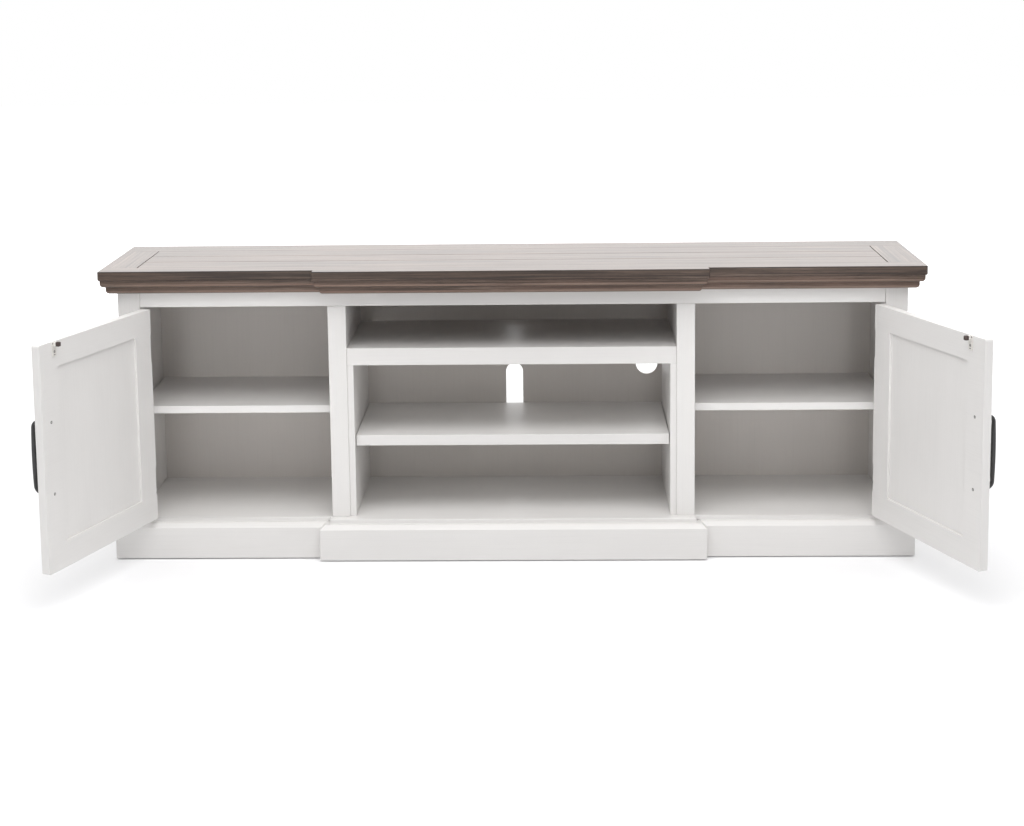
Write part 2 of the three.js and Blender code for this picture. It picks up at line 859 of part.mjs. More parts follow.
// The catch's jaw is fixed behind the header rail. Its two arms reach down over the end of the tongue.
function add_catch_jaws() {
  const a = door_hinge_edge + door_width - strike_edge_distance;
  const front = frame_thickness + jaw_setback;
  const slot_back = front + jaw_slot_depth;
  const flange_back = frame_thickness + jaw_wall;
  const roof = header_bottom + jaw_roof_thickness;
  const bottom = header_bottom - jaw_arm_height;
  const outline = [
    [frame_thickness, header_bottom],
    [frame_thickness, roof + jaw_flange_height],
    [flange_back, roof + jaw_flange_height],
    [flange_back, roof],
    [slot_back + jaw_wall, roof],
    [slot_back + jaw_wall, bottom],
    [front, bottom],
    [front, header_bottom],
  ];
  for (const { side, word } of SIDES) {
    const centre = side * (pivot_x - a);
    const half = jaw_slot_width / 2 + jaw_wall;
    const whole = prism(outline, (u, v, w) => [between(centre - half, centre + half, w), u, v]);
    const slot = block(
      [centre - jaw_slot_width / 2, centre + jaw_slot_width / 2],
      [front - cut_overrun, slot_back],
      [bottom - cut_overrun, header_bottom],
    );
    case_group.add(piece("catch_jaw_" + word, cut(whole, slot), catch_nylon));
  }
}

function add_doors() {
  for (const { side, word, angle } of SIDES) {
    const door = new THREE.Group();
    door.position.set(side * pivot_x, -hinge_pivot_proud, 0);
    door.rotation.z = THREE.MathUtils.degToRad(side * angle);
    add_door_frame(door, side, word);
    add_handle(door, side, word);
    add_strike(door, side, word);
    for (const { word: level, height } of HINGES) {
      const leaf = piece("hinge_door_leaf_" + level + "_" + word, door_leaf(-side), hinge_metal);
      leaf.position.z = height;
      door.add(leaf);
    }
    case_group.add(door);
  }
}

add_top();
add_cornice();
add_base();
add_walls();
add_back_panel();
add_shelves();
add_case_leaves();
add_doors();
add_catch_jaws();

export default stand;
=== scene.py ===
"""Media console: a moulded brown wooden top on a white painted case, with two framed doors."""

import json
import math

import bmesh
import bpy
from bpy.props import FloatProperty, FloatVectorProperty, IntProperty, PointerProperty
from mathutils import Matrix, Vector


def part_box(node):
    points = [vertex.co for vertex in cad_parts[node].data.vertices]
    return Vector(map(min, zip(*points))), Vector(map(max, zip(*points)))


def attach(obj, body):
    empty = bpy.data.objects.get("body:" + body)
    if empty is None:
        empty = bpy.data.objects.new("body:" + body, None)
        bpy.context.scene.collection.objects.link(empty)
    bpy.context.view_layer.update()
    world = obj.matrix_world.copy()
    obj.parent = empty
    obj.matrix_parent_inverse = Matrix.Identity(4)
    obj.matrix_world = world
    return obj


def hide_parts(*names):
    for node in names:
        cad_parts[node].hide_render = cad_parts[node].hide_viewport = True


bl_info = {
    "name": "Media console",
    "version": (1, 0, 0),
    "blender": (4, 5, 0),
    "location": "3D View > Sidebar > Console",
    "description": "Builds a white media console with a brown wooden top and two open doors",
    "category": "Object",
}

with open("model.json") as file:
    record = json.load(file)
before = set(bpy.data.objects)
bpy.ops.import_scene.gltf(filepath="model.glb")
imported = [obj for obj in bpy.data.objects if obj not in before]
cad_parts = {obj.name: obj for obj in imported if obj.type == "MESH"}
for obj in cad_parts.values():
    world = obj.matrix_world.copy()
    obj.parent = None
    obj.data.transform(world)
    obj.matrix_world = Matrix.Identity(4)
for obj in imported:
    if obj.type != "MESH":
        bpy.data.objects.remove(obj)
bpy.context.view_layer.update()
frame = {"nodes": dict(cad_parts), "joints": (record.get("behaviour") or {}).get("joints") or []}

MM = 0.001
ACROSS, DEPTH, UP = (1, 0, 0), (0, 1, 0), (0, 0, 1)
SIDES = {-1: "left", 1: "right"}
LEVELS = ("lower", "upper")

# Doors, in millimetres: from the hinge pin to the free edge, and from the front face to the back
DOOR_FRONT = 6.0
DOOR_BACK = 26.0
DOOR_PANEL = (11.2, 20.8)
PANEL_TUCK = 7.0
DOOR_HINGE_EDGE = -0.5
DOOR_FREE_EDGE = 440.3
STILE_WIDTH = 66.0
TOP_RAIL_WIDTH = 57.0
BOTTOM_RAIL_WIDTH = 59.5
NOTCH_FLOOR = 2.3
NOTCH_HALF = 33.8
STRIKE_A = 387.7
STRIKE_HALF = 7.5
STRIKE_HEIGHT = 33.0

# Handles
HANDLE_A = 408.3
HANDLE_SCREW_HALF = 80.0
HANDLE_OUT = 28.0
HANDLE_BEND = 15.0
HANDLE_WIDTH = 10.0
HANDLE_THICKNESS = 6.0
HANDLE_CORNER = 2.2
GRIP_THICKNESS = 10.0

# Hinges
HINGE_HALF = 33.5
KNUCKLES = 5
KNUCKLE_GAP = 0.3
KNUCKLE_RADIUS = 4.2
PIN_RADIUS = 2.0
PIN_HEAD_RADIUS = 3.4
LEAF_START = 0.4
LEAF_THICKNESS = 1.6
LEAF_END = 24.0
LEAF_SCREWS = ((11.0, -23.0), (18.0, 0.0), (11.0, 23.0))

# Case
TOP_JOINT_X = 884.0
PLANK_JOINTS = (-74.5, 9.5)
# Nose band, in millimetres above each moulding member's foot, that gets a painted highlight, and width of the
# middle's returns that get painted shade
CORNICE_NOSE = (2.5, 8.0)
CORNICE_RETURN = 22.0
SHELF_PIN_LENGTH = 8.0
SHELF_PIN_INSET = {"front": 50.0, "back": 49.0}
SHELF_PLAY = 3.0
FOOT_CLEARANCE = 3.0
PARTITION_THICKNESS = 18.0
PARTITION_MIDDLE = 398.7
CABLE_HOLE_RADIUS = 27.5
CABLE_HOLE_AT = (336.8, 392.0)
SLOT_HALF_WIDTH = 21.5
SLOTS = ((200.0, 395.0), (547.0, 602.0))

# Lamps, in metres: name, which is also that of the power's setting, then place, target and size
LAMPS = (
    ("overhead", (0, -1.6, 3.4), (0, -0.1, 0.3), (4.0, 2.0)),
    ("top", (0, 0.4, 3.4), (0, 0.1, 0), (4.0, 2.0)),
    ("main", (-0.6, -3.4, 3.6), (0, 0, 0.2), (4.6, 3.2)),
    ("fill", (0.4, -4.6, 1.1), (0, 0, 0.3), (4.0, 1.6)),
    ("back", (0, 3.2, 2.0), (0, 0, 0.6), (5.0, 2.0)),
)
GLOW_RANGE = (1.4, 4.5)
CAMERA_RIGHT = (0.99960, 0.02563, -0.01208)
CAMERA_UP = (0.00828, 0.14366, 0.98959)


# Settings

def srgb(red, green, blue):
    """A colour given in screen levels from 0 to 255, as Blender's linear values."""
    levels = [level / 255 for level in (red, green, blue)]
    return tuple(c / 12.92 if c <= 0.04045 else ((c + 0.055) / 1.055) ** 2.4 for c in levels)


def colour(name, description, default):
    return FloatVectorProperty(name=name, description=description, subtype="COLOR", min=0, max=1, default=default)


def number(name, description, default, **kind):
    return FloatProperty(name=name, description=description, min=0, default=default, **kind)


def length(name, description, default_mm):
    return number(name, description, default_mm * MM, unit="LENGTH")


def share(name, description, default):
    return number(name, description, default, subtype="FACTOR", max=1)


def power(name, description, default):
    return number(name, description, default, subtype="POWER")


class PaintSettings(bpy.types.PropertyGroup):
    """The white paint and the boards that it covers."""
    white: colour("White", "Colour of the painted boards", srgb(228, 226, 224))
    back_white: colour("Back panel", "Colour of the thin back panel", srgb(214, 209, 204))
    roughness: share("Roughness", "How matt the paint is", 0.42)
    stroke_depth: length("Stroke depth", "How deep the brushed grain shows in the paint", 0.06)
    board_ease: length("Edge rounding", "Rounding of the edges of painted boards", 1.2)


class WoodSettings(bpy.types.PropertyGroup):
    """The brown wood of the top and its moulding."""
    brown: colour("Brown", "Main colour of the wood", srgb(100, 82, 71))
    dark: colour("Dark grain", "Colour of the dark grain lines", srgb(54, 42, 35))
    # Also the colour of the painted highlight on the moulding's noses
    light: colour("Light grain", "Colour of the pale, worn grain", srgb(145, 125, 112))
    red: colour("Warm tone", "Warmer colour of some boards", srgb(119, 93, 81))
    roughness: share("Roughness", "How matt the wood is under its lacquer", 0.5)
    lacquer: share("Lacquer", "How much clear lacquer covers the wood", 0.9)
    lacquer_roughness: share("Lacquer roughness", "How matt the lacquer is", 0.28)
    pore_depth: length("Pore depth", "How deep the open grain is", 0.25)
    nose: length("Front edge rounding", "Rounding of the top's outer edges", 2.8)
    corner: length("Corner rounding", "Rounding of the top's two front corners", 7)
    joint: length("Joint rounding", "Rounding of the edges where two boards of the top meet", 0.9)
    gap: length("End joint gap", "Width of the open joint between the planks and each end board", 1.8)


class DoorSettings(bpy.types.PropertyGroup):
    """The shape of the doors' edges."""
    corner: length("Corner rounding", "Rounding of the door's four corners", 5.0)
    edge: length("Edge rounding", "Rounding of the door's outer edges", 2.6)
    sticking: length("Inner edge", "Width of the small slope round the panel", 1.6)


class HardwareSettings(bpy.types.PropertyGroup):
    """Handles, hinges, catches and screws."""
    black: colour("Handle", "Colour of the handles", srgb(44, 43, 44))
    nickel: colour("Hinge metal", "Colour of the hinges", srgb(172, 168, 162))
    steel: colour("Screws", "Colour of the screws", srgb(150, 148, 146))
    nylon: colour("Catch", "Colour of the catch bodies", srgb(226, 223, 218))
    # Painted reflection and shadow: this dark colour stands for the dark reflection in a polished catch tip, and also
    # colours the painted shadow arc over each strike's arch
    tip: colour("Catch tip", "Colour of the dark tip of each catch", srgb(70, 58, 54))
    screw_radius: length("Screw head", "Radius of a screw's head", 2.9)


class StageSettings(bpy.types.PropertyGroup):
    """The floor, lamps and camera."""
    floor: colour("Floor", "Colour of the floor", srgb(235, 235, 236))
    near_glow: number("Near glow", "Light that the camera sees added to the floor near the object", 0.12)
    far_glow: number("Far glow", "Light that the camera sees added to the floor far away", 0.85)
    world: number("World light", "Strength of the soft light from straight above", 1.17)
    overhead: power("Overhead lamp", "Power of the large lamp above the front", 60)
    top: power("Top lamp", "Power of the large lamp straight above", 18)
    main: power("Main lamp", "Power of the large lamp in front", 26)
    fill: power("Fill lamp", "Power of the low lamp in front", 10)
    back: power("Back lamp", "Power of the lamp behind, which gives the top its sheen", 30)
    bay: power("Bay lamps", "Power of each of the two small lamps that reach into the side bays", 0.11)
    camera: FloatVectorProperty(name="Camera", description="Where the camera stands", subtype="TRANSLATION",
                                unit="LENGTH", default=(0.0978, -4.4209, 1.4116))
    lens: number("Lens", "Focal length in millimetres", 64.59)
    shift: FloatVectorProperty(name="Shift", description="Shift of the picture, as a share of its width", size=2,
                               default=(0.0099, -0.182))
    hole_sides: IntProperty(name="Round sides", description="Sides of a round hole or slot end", min=8, default=48)


def paint():
    return bpy.context.scene.console_paint


def wood():
    return bpy.context.scene.console_wood


def doors():
    return bpy.context.scene.console_doors


def hardware():
    return bpy.context.scene.console_hardware


def stage():
    return bpy.context.scene.console_stage


# Mesh building

def near(value, target):
    return abs(value - target) < 0.2 * MM


def metres(points):
    return [(u * MM, v * MM) for u, v in points]


def face_x(cad, side):
    """Where the left (-1) or right (1) face of a CAD node stands."""
    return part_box(cad)[side > 0].x


def middle_z(cad):
    low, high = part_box(cad)
    return (low.z + high.z) / 2


def turned(place, axis="X", degrees=-90):
    """A place and a turn about one axis. As it stands, the turn makes a screw head face the back."""
    return Matrix.Translation(place) @ Matrix.Rotation(math.radians(degrees), 4, axis)


def copied(cad):
    """A CAD node's shape as welded flat faces, ready for its edges to be rounded."""
    bm = bmesh.new()
    bm.from_mesh(frame["nodes"][cad].data)
    bmesh.ops.remove_doubles(bm, verts=bm.verts, dist=0.01 * MM)
    bmesh.ops.dissolve_limit(bm, angle_limit=math.radians(1), verts=bm.verts, edges=bm.edges)
    return bm


def block(low, high):
    """A block between two corners, in metres."""
    bm = bmesh.new()
    bmesh.ops.create_cube(bm, size=1)
    for vert in bm.verts:
        vert.co = [low[i] if vert.co[i] < 0 else high[i] for i in range(3)]
    return bm


def mesh_of(name, bm):
    """Turns what was built into a mesh, and frees it."""
    mesh = bpy.data.meshes.new(name)
    bm.to_mesh(mesh)
    bm.free()
    return mesh


def linked(name, data):
    made = bpy.data.objects.new(name, data)
    bpy.context.scene.collection.objects.link(made)
    return made


def added(bm, other):
    """Puts other's faces into bm."""
    mesh = mesh_of("part", other)
    bm.from_mesh(mesh)
    bpy.data.meshes.remove(mesh)
    return bm


def placed(bm, matrix):
    """Moves what was built, and keeps its faces outward where the move mirrors it."""
    bmesh.ops.transform(bm, matrix=matrix, verts=bm.verts)
    if matrix.determinant() < 0:
        bmesh.ops.reverse_faces(bm, faces=bm.faces)
    return bm


def nudged(bm, axis, at, by):
    """Moves the corners that lie at one place along an axis."""
    for vert in bm.verts:
        if near(vert.co[axis], at):
            vert.co[axis] += by
    return bm


def ease(bm, width, chosen=None, segments=2, sharper_than=30):
    """Rounds the sharp edges, or those of them that chosen(edge) picks."""
    limit = math.radians(sharper_than)
    edges = [e for e in bm.edges if len(e.link_faces) == 2 and e.calc_face_angle(0) > limit]
    if chosen:
        edges = [e for e in edges if chosen(e)]
    if edges and width > 0:
        bmesh.ops.bevel(bm, geom=edges, offset=width, segments=segments, profile=0.5, affect="EDGES",
                        clamp_overlap=True)
    return bm


def outward(bm):
    bmesh.ops.recalc_face_normals(bm, faces=bm.faces)
    return bm


def plate(outline, holes, axis, start, thickness):
    """A flat plate with holes, square to an axis (0, 1 or 2), from start on. Outlines lie on the other two."""
    bm = bmesh.new()
    for loop in [outline, *holes]:
        corners = [bm.verts.new((*point[:axis], start, *point[axis:])) for point in loop]
        for i, corner in enumerate(corners):
            bm.edges.new((corner, corners[i - 1]))
    made = bmesh.ops.triangle_fill(bm, edges=bm.edges, use_beauty=True)
    faces = [f for f in made["geom"] if isinstance(f, bmesh.types.BMFace)]
    grown = bmesh.ops.extrude_face_region(bm, geom=faces, use_keep_orig=True)
    moved = [v for v in grown["geom"] if isinstance(v, bmesh.types.BMVert)]
    bmesh.ops.translate(bm, verts=moved, vec=[thickness if i == axis else 0 for i in range(3)])
    outward(bm)
    bmesh.ops.dissolve_limit(bm, angle_limit=math.radians(1), verts=bm.verts, edges=bm.edges)
    return bm


def rectangle(low, high):
    return [low, (high[0], low[1]), high, (low[0], high[1])]


def arc(centre, radius, start, end, steps):
    """Points of an arc in degrees."""
    turns = [math.radians(start + (end - start) * i / steps) for i in range(steps + 1)]
    return [(centre[0] + radius * math.cos(t), centre[1] + radius * math.sin(t)) for t in turns]


def circle(centre, radius, sides=24):
    return arc(centre, radius, 0, 360 - 360 / sides, sides - 1)


def skinned(bm, rings):
    """Joins rings of corners by faces. A ring may be a single corner."""
    for below, above in zip(rings, rings[1:]):
        for i in range(max(len(below), len(above))):
            corners = [below[i % len(below)], below[(i + 1) % len(below)],
                       above[(i + 1) % len(above)], above[i % len(above)]]
            unique = list(dict.fromkeys(corners))
            if len(unique) > 2:
                bm.faces.new(unique)
    return bm


def lathe(profile, sides):
    """A turned body round Z. profile is [radius, height] from one end on the axis to the other."""
    bm = bmesh.new()
    rings = []
    for radius, height in profile:
        turns = [2 * math.pi * i / sides for i in range(sides if radius else 1)]
        rings.append([bm.verts.new((radius * math.cos(t), radius * math.sin(t), height)) for t in turns])
    return outward(skinned(bm, rings))


def swept(section, line):
    """A bar that carries one section along a line of [centre, axis across, axis through]."""
    bm = bmesh.new()
    rings = [[bm.verts.new(middle + across * u + through * v) for u, v in section]
             for middle, across, through in line]
    bm.faces.new(rings[0])
    bm.faces.new(rings[-1])
    return outward(skinned(bm, rings))


# Grain: every board carries its own coordinates, which run along its length

def grain_axes(along):
    along = Vector(along).normalized()
    guide = Vector(ACROSS) if abs(along.z) > 0.9 else Vector(UP)
    across = along.cross(guide).normalized()
    return along, across, along.cross(across)


def lay_grain(mesh, along, name, tone):
    """Writes each corner's place along, across and through its board. along and tone may depend on the face."""
    shift = sum((i + 1) * ord(letter) for i, letter in enumerate(name)) * 0.137
    places, shades = [], []
    for face in mesh.polygons:
        axes = grain_axes(along(face.center) if callable(along) else along)
        shade = tone(face.center) if callable(tone) else tone
        for corner in face.loop_indices:
            point = mesh.vertices[mesh.loops[corner].vertex_index].co
            run, width, depth = (axis.dot(point) for axis in axes)
            places += [run + shift, width + shift * 0.31 + shade, depth - shift * 0.17]
            shades.append(shade)
    mesh.attributes.new("grain", "FLOAT_VECTOR", "CORNER").data.foreach_set("vector", places)
    # tone is a board's own warmth; its lowest values carry painted shade and its highest a painted highlight
    mesh.attributes.new("tone", "FLOAT", "CORNER").data.foreach_set("value", shades)


def piece(name, bm, look, replaces=(), along=ACROSS, tone=0.5, smooth=35, body="case"):
    """Turns a built mesh into a named object that rides on a body and stands for the CAD nodes that it replaces."""
    mesh = mesh_of(name, bm)
    lay_grain(mesh, along, name, tone)
    mesh.materials.append(finish(look))
    mesh.shade_smooth()
    mesh.set_sharp_from_angle(angle=math.radians(smooth))
    made = linked(name, mesh)
    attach(made, body)
    if replaces:
        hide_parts(*replaces)
    made.modifiers.new("even_shading", "WEIGHTED_NORMAL").keep_sharp = True


# Materials

def node(tree, kind, inputs=None, **settings):
    """Adds one shader node. inputs maps a socket to a value, or to the socket that feeds it."""
    made = tree.nodes.new("ShaderNode" + kind)
    made.location = (220 * len(tree.nodes), 0)
    for key, value in settings.items():
        setattr(made, key, value)
    for key, value in (inputs or {}).items():
        if isinstance(value, bpy.types.NodeSocket):
            tree.links.new(value, made.inputs[key])
        else:
            made.inputs[key].default_value = value
    return made


def emptied(owner):
    """The node tree of a material or world, with nothing in it."""
    owner.use_nodes = True
    owner.node_tree.nodes.clear()
    return owner.node_tree


def calc(tree, operation, a, b):
    return node(tree, "Math", {0: a, 1: b}, operation=operation).outputs[0]


def ranged(tree, value, low, high):
    """A value from 0 to 1, stretched to run from low to high."""
    return node(tree, "MapRange", {"Value": value, "To Min": low, "To Max": high}).outputs["Result"]


def bumped(tree, height, strength, depth):
    return node(tree, "Bump", {"Height": height, "Strength": strength, "Distance": depth}).outputs["Normal"]


def ramp(tree, factor, stops):
    """A colour ramp with stops of (position, colour or grey)."""
    made = node(tree, "ValToRGB", {"Fac": factor})
    elements = made.color_ramp.elements
    while len(elements) < len(stops):
        elements.new(0.5)
    for element, (position, value) in zip(elements, stops):
        element.position = position
        element.color = (*value, 1) if hasattr(value, "__len__") else (value, value, value, 1)
    return made.outputs["Color"]


def mixed(tree, factor, a, b, blend_type="MIX"):
    """Two colours mixed. Each is a socket or three plain values."""
    a, b = (value if isinstance(value, bpy.types.NodeSocket) else (*value, 1) for value in (a, b))
    return node(tree, "Mix", {0: factor, 6: a, 7: b}, data_type="RGBA", blend_type=blend_type).outputs[2]


def noise(tree, scale, detail, roughness=0.55, distortion=0.0):
    """Noise in a board's own coordinates, stretched by a scale for along, across and through."""
    grain = node(tree, "Attribute", attribute_name="grain")
    scaled_grain = node(tree, "Mapping", {"Vector": grain.outputs["Vector"], "Scale": scale})
    made = node(tree, "TexNoise", {"Vector": scaled_grain.outputs["Vector"], "Scale": 1.0, "Detail": detail,
                                   "Roughness": roughness, "Distortion": distortion})
    return made.outputs["Fac"]


def scaled(value, factor):
    return tuple(min(1.0, c * factor) for c in value)


def surface(tree, base, texture, roughness, bump, height=None):
    """A shader's colour, and the roughness, (low, high), and bump, (strength, depth), that a texture gives it."""
    return {"Base Color": base, "Roughness": ranged(tree, texture, *roughness),
            "Normal": bumped(tree, height or texture, *bump)}


def painted(tree, white, roughness):
    """Brushed satin paint over wood: fine strokes along each board and a faint cloudiness."""
    strokes = noise(tree, (7, 380, 380), 5, 0.62)
    clouds = noise(tree, (3, 9, 9), 3)
    base = ramp(tree, clouds, [(0.3, scaled(white, 0.965)), (0.7, white)])
    streak = ramp(tree, strokes, [(0.28, 0.972), (0.5, 1.0)])
    return surface(tree, mixed(tree, 1.0, base, streak, "MULTIPLY"), strokes, (roughness + 0.08, roughness - 0.05),
                   (0.3, paint().stroke_depth))


def brown_wood(tree):
    """Weathered brown wood under clear lacquer: long figure, fine grain lines, pores and boards of uneven tone, with
    painted shade at the lowest tones and a painted highlight at the highest.
    """
    settings = wood()
    figure = noise(tree, (1.6, 38, 38), 6, 0.62, 0.8)
    lines = noise(tree, (3.2, 230, 230), 4, 0.6)
    pale_lines = noise(tree, (2.1, 150, 150), 5, 0.6)
    pores = noise(tree, (45, 1500, 1500), 2, 0.5)
    patches = noise(tree, (2.4, 11, 11), 3, 0.5)
    tone = node(tree, "Attribute", attribute_name="tone").outputs["Fac"]

    figured = ramp(tree, figure, [(0.34, settings.dark), (0.46, settings.brown), (0.58, settings.brown),
                                  (0.7, settings.light)])
    streaked = mixed(tree, ramp(tree, pale_lines, [(0.54, 0.0), (0.66, 0.75)]), figured, settings.light)
    lined = mixed(tree, ramp(tree, lines, [(0.38, 0.9), (0.52, 0.0)]), streaked, settings.dark)
    warm = calc(tree, "MULTIPLY", tone, ramp(tree, patches, [(0.38, 1.0), (0.56, 0.1)]))
    toned = mixed(tree, warm, lined, settings.red)
    open_grain = ramp(tree, pores, [(0.36, 0.62), (0.47, 1.0)])
    grained = mixed(tree, 1.0, toned, open_grain, "MULTIPLY")
    # Painted shade: tones under 0.2, on the front board's front edge and arris and on the cornice's returns, are
    # darkened
    shade = ramp(tree, tone, [(0.0, 0.3), (0.08, 0.68), (0.2, 1.0)])
    shaded = mixed(tree, 1.0, grained, shade, "MULTIPLY")
    # Painted highlight: tones over 0.85, on the moulding's noses, are mixed towards the pale grain colour
    painted_highlight = calc(tree, "MULTIPLY", ramp(tree, tone, [(0.85, 0.0), (0.95, 0.55)]),
                  ramp(tree, figure, [(0.35, 0.35), (0.55, 1.0)]))
    base = mixed(tree, painted_highlight, shaded, scaled(settings.light, 1.05))

    look = surface(tree, base, lines, (settings.roughness + 0.12, settings.roughness - 0.08),
                   (0.4, settings.pore_depth), calc(tree, "ADD", open_grain, lines))
    soft = bumped(tree, calc(tree, "ADD", pale_lines, lines), 0.5, settings.pore_depth)
    return {**look, "Specular IOR Level": 0.15, "Coat Weight": settings.lacquer, "Coat IOR": 1.32,
            "Coat Roughness": settings.lacquer_roughness, "Coat Normal": soft}


def black_metal(tree):
    """Satin black powder coat with its fine orange-peel grain."""
    speckle = noise(tree, (1100, 1100, 1100), 3)
    wear = noise(tree, (60, 60, 60), 4)
    black = hardware().black
    base = ramp(tree, wear, [(0.35, scaled(black, 0.8)), (0.75, scaled(black, 1.35))])
    return surface(tree, base, speckle, (0.38, 0.52), (0.25, 0.1 * MM))


def brushed_metal(tree, tint, roughness):
    """Satin metal with brush marks along the piece."""
    brushed = noise(tree, (60, 4200, 4200), 3)
    base = ramp(tree, brushed, [(0.3, scaled(tint, 0.86)), (0.7, tint)])
    look = surface(tree, base, brushed, (roughness - 0.06, roughness + 0.1), (0.12, 0.05 * MM))
    return {**look, "Metallic": 1.0}


def moulded_plastic(tree, tint, roughness):
    """Moulded plastic with a fine spark-eroded texture and faint flow marks."""
    texture = noise(tree, (2400, 2400, 2400), 2)
    flow = noise(tree, (45, 120, 120), 3)
    base = ramp(tree, flow, [(0.35, scaled(tint, 0.93)), (0.7, tint)])
    return surface(tree, base, texture, (roughness - 0.05, roughness + 0.1), (0.2, 0.05 * MM))


FINISHES = {
    "white_paint": lambda tree: painted(tree, paint().white, paint().roughness),
    "white_back_panel": lambda tree: painted(tree, paint().back_white, 0.55),
    "brown_wood": brown_wood,
    "black_metal": black_metal,
    "hinge_metal": lambda tree: brushed_metal(tree, hardware().nickel, 0.34),
    "screw_steel": lambda tree: brushed_metal(tree, hardware().steel, 0.4),
    "catch_nylon": lambda tree: moulded_plastic(tree, hardware().nylon, 0.45),
    # Painted reflection and shadow on each strike: its dark nose and the arc over its arch
    "catch_tip": lambda tree: moulded_plastic(tree, hardware().tip, 0.6),
}


def finish(name):
    """The named finish, made the first time that a piece asks for it."""
    for material in bpy.data.materials:
        if material.get("console_finish") == name:
            return material
    material = bpy.data.materials.new(name)
    material["console_finish"] = name
    tree = emptied(material)
    shader = node(tree, "BsdfPrincipled", FINISHES[name](tree))
    node(tree, "OutputMaterial", {"Surface": shader.outputs["BSDF"]})
    return material


# Top and cornice

def direction(cad):
    """Which way a level board runs: those at the ends run from front to back."""
    return DEPTH if "end" in cad else ACROSS


def plank_tone(centre):
    """Each plank of the top's field has its own tone."""
    return (0.25, 0.45, 0.3)[sum(centre.y > joint * MM for joint in PLANK_JOINTS)]


def front_board_tone_and_shade(centre):
    """Painted shade: the front board is darker on its front edge, and darkest along its upper arris; its top keeps
    the board's own tone.
    """
    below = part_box("top_front_board")[1].z - centre.z
    if below < 0.3 * MM:
        return 0.25
    return 0.0 if below < wood().nose else 0.08


TOP_BOARDS = {
    "top_front_board": front_board_tone_and_shade,
    "top_back_board": 0.35,
    "top_field": plank_tone,
    "top_end_board_left": 0.3,
    "top_end_board_right": 0.35,
}
CORNICE_TONES = {"cornice_front_left": 0.35, "cornice_front_right": 0.5, "cornice_centre": 0.4,
                 "cornice_end_left": 0.3, "cornice_end_right": 0.5}


def top_board(name):
    """A board of the top: outer edges and front corners rounded, joints eased to fine lines."""
    settings = wood()
    end, top = (max(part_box(other)[1][i] for other in TOP_BOARDS) for i in (0, 2))
    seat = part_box("top_front_board")[1].y

    def outer(edge):
        middle = (edge.verts[0].co + edge.verts[1].co) / 2
        at_front = middle.y < seat - 20 * MM
        return (near(abs(middle.x), end) or at_front) and not near(middle.y, seat)

    def corner(edge):
        a, b = (vert.co for vert in edge.verts)
        return near(a.x, b.x) and near(a.y, b.y) and near(abs(a.x), end) and a.y < seat - 10 * MM

    def upper(edge):
        return (edge.verts[0].co.z + edge.verts[1].co.z) / 2 > top - 0.5 * MM

    bm = copied(name)
    for side in SIDES:
        opened = settings.gap / 2 if "end" in name else -settings.gap / 2
        nudged(bm, 0, side * TOP_JOINT_X * MM, side * opened)
    ease(bm, settings.corner, corner, segments=5)
    ease(bm, settings.nose, outer, segments=4)
    return ease(bm, settings.joint, upper, sharper_than=40)


def moulding_tone_shade_and_highlight(name):
    """Painted highlight on the rounded nose of each of a moulding's two members, and painted shade on the middle's
    returns.
    """
    low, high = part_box(name)
    member = (high.z - low.z) / 2
    start, end = CORNICE_NOSE

    def tone(centre):
        # Tone 1.0 is the painted highlight on a nose, and 0.08 the painted shade on a return; other faces keep the
        # board's own tone
        if start * MM < (centre.z - low.z) % member < end * MM:
            return 1.0
        at_return = name == "cornice_centre" and abs(centre.x) > high.x - CORNICE_RETURN * MM
        return 0.08 if at_return else CORNICE_TONES[name]
    return tone


# Case

def board(cad, along=ACROSS, bm=None, ease_mm=None, chosen=None):
    """A painted board with eased edges, in place of its CAD node."""
    width = paint().board_ease if ease_mm is None else ease_mm * MM
    built = ease(bm or copied(cad), width, chosen, segments=3)
    piece(cad + "_board", built, "white_paint", [cad], along)


def narrowed(cad, left_mm, right_mm):
    """A CAD node's shape, drawn in at its left and right ends."""
    bm = nudged(copied(cad), 0, face_x(cad, -1), left_mm * MM)
    return nudged(bm, 0, face_x(cad, 1), -right_mm * MM)


def trimmed(cad, toward):
    """A wall's block without the shelf pins that it carries on its left (-1) or right (1) face."""
    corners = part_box(cad)
    corners[toward > 0].x -= toward * SHELF_PIN_LENGTH * MM
    return block(*corners)


def upright_board(side, name):
    """The strip beside a pilaster, notched for the upper shelf's rail."""
    low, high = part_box(name)
    rail_low, rail_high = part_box("top_shelf_rail")
    shelf_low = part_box("top_shelf")[0]
    inner = face_x(name, -side) + side * SHELF_PIN_LENGTH * MM
    outline = [(low.y, low.z), (low.y, rail_low.z), (rail_high.y, rail_low.z), (rail_high.y, shelf_low.z),
               (high.y, shelf_low.z), (high.y, low.z)]
    return plate(outline, [], 0, inner, face_x(name, side) - inner)


def shelf_pin(name, place, toward):
    """A shelf pin: a flat paddle, a web on the wall and a gusset between. place is its top, at the wall."""
    half_width, height, reach = 3.5 * MM, 5 * MM, SHELF_PIN_LENGTH * MM
    paddle = ease(block((0.9 * MM, -half_width, -1.4 * MM), (reach, half_width, 0)), 0.5 * MM)
    web = ease(block((0, -half_width, -height), (1.3 * MM, half_width, 0)), 0.4 * MM)
    gusset = plate([(MM, -MM), (reach * 0.8, -MM), (MM, -height * 0.9)], [], 1, -0.6 * MM, 1.2 * MM)
    pin = placed(added(added(paddle, web), gusset), turned(place, "Z", 0 if toward > 0 else 180))
    piece(name, pin, "hinge_metal")


